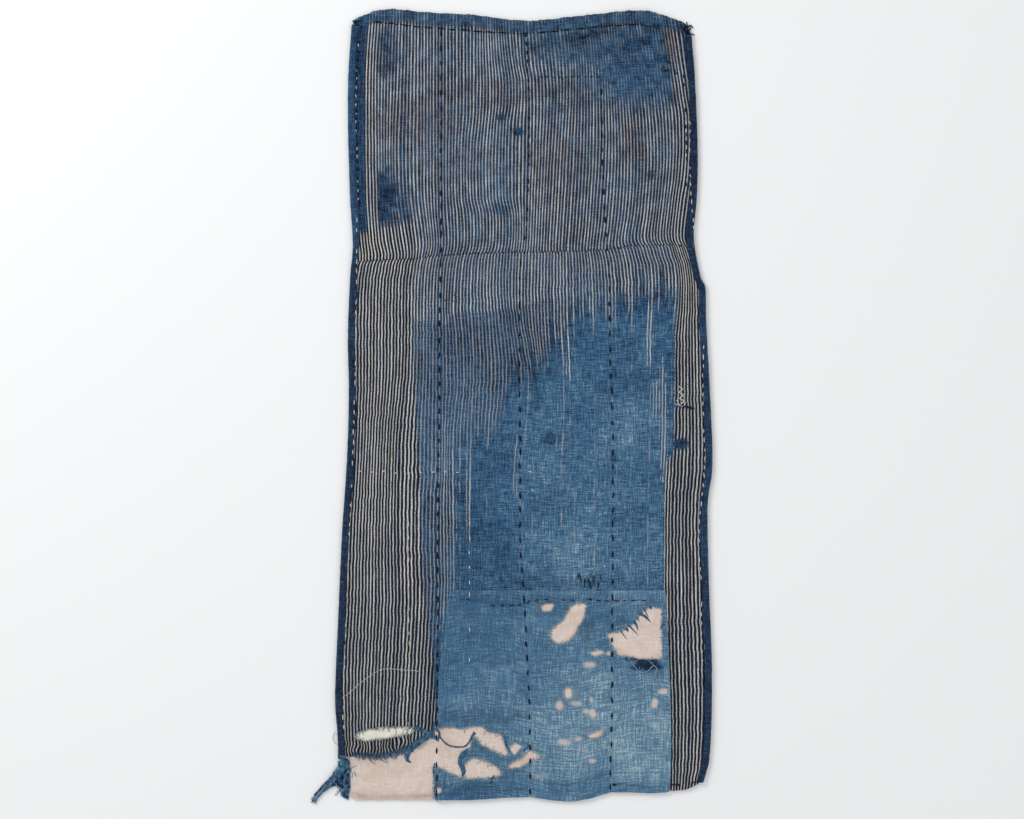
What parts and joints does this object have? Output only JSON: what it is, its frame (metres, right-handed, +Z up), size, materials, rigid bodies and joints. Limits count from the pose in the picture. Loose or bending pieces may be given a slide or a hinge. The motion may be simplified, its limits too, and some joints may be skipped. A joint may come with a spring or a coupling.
{
  "type": "boro patched cloth",
  "caption": "Old striped indigo cotton cloth, patched, quilted and worn through at the bottom, lying flat and face up.",
  "frame": {"origin": "on the surface it lies on, under the middle of its outline", "axes": "+X across the cloth, +Y up its length to the hemmed top, +Z up out of its face"},
  "size_m": [0.4095, 0.81, 0.0054],
  "materials": {
    "pale_lining": "plain-woven pinkish-beige cotton, matt",
    "upper_stripe": "hand-woven indigo cotton with narrow grey-cream warp stripes, worn and partly overdyed",
    "lower_stripe": "hand-woven indigo cotton, striped at the sides and worn to plain mid blue in the middle",
    "faded_patch": "coarse plain-woven faded indigo cotton with worn holes",
    "cream_cotton": "plain-woven cream cotton",
    "dark_binding": "plain dark indigo cotton, folded",
    "torn_indigo": "torn and frayed dark indigo cotton",
    "dark_thread": "thick dark indigo cotton sewing thread",
    "pale_thread": "white and cream cotton sewing thread"
  },
  "bodies": {
    "root": {"backing": "pale_lining", "upper_cloth": "upper_stripe", "lower_cloth": "lower_stripe", "blue_patch": "faded_patch", "slit_patch": "cream_cotton", "binding_left": "dark_binding", "binding_right": "dark_binding", "torn_rag": "torn_indigo"}
  },
  "joints": []
}
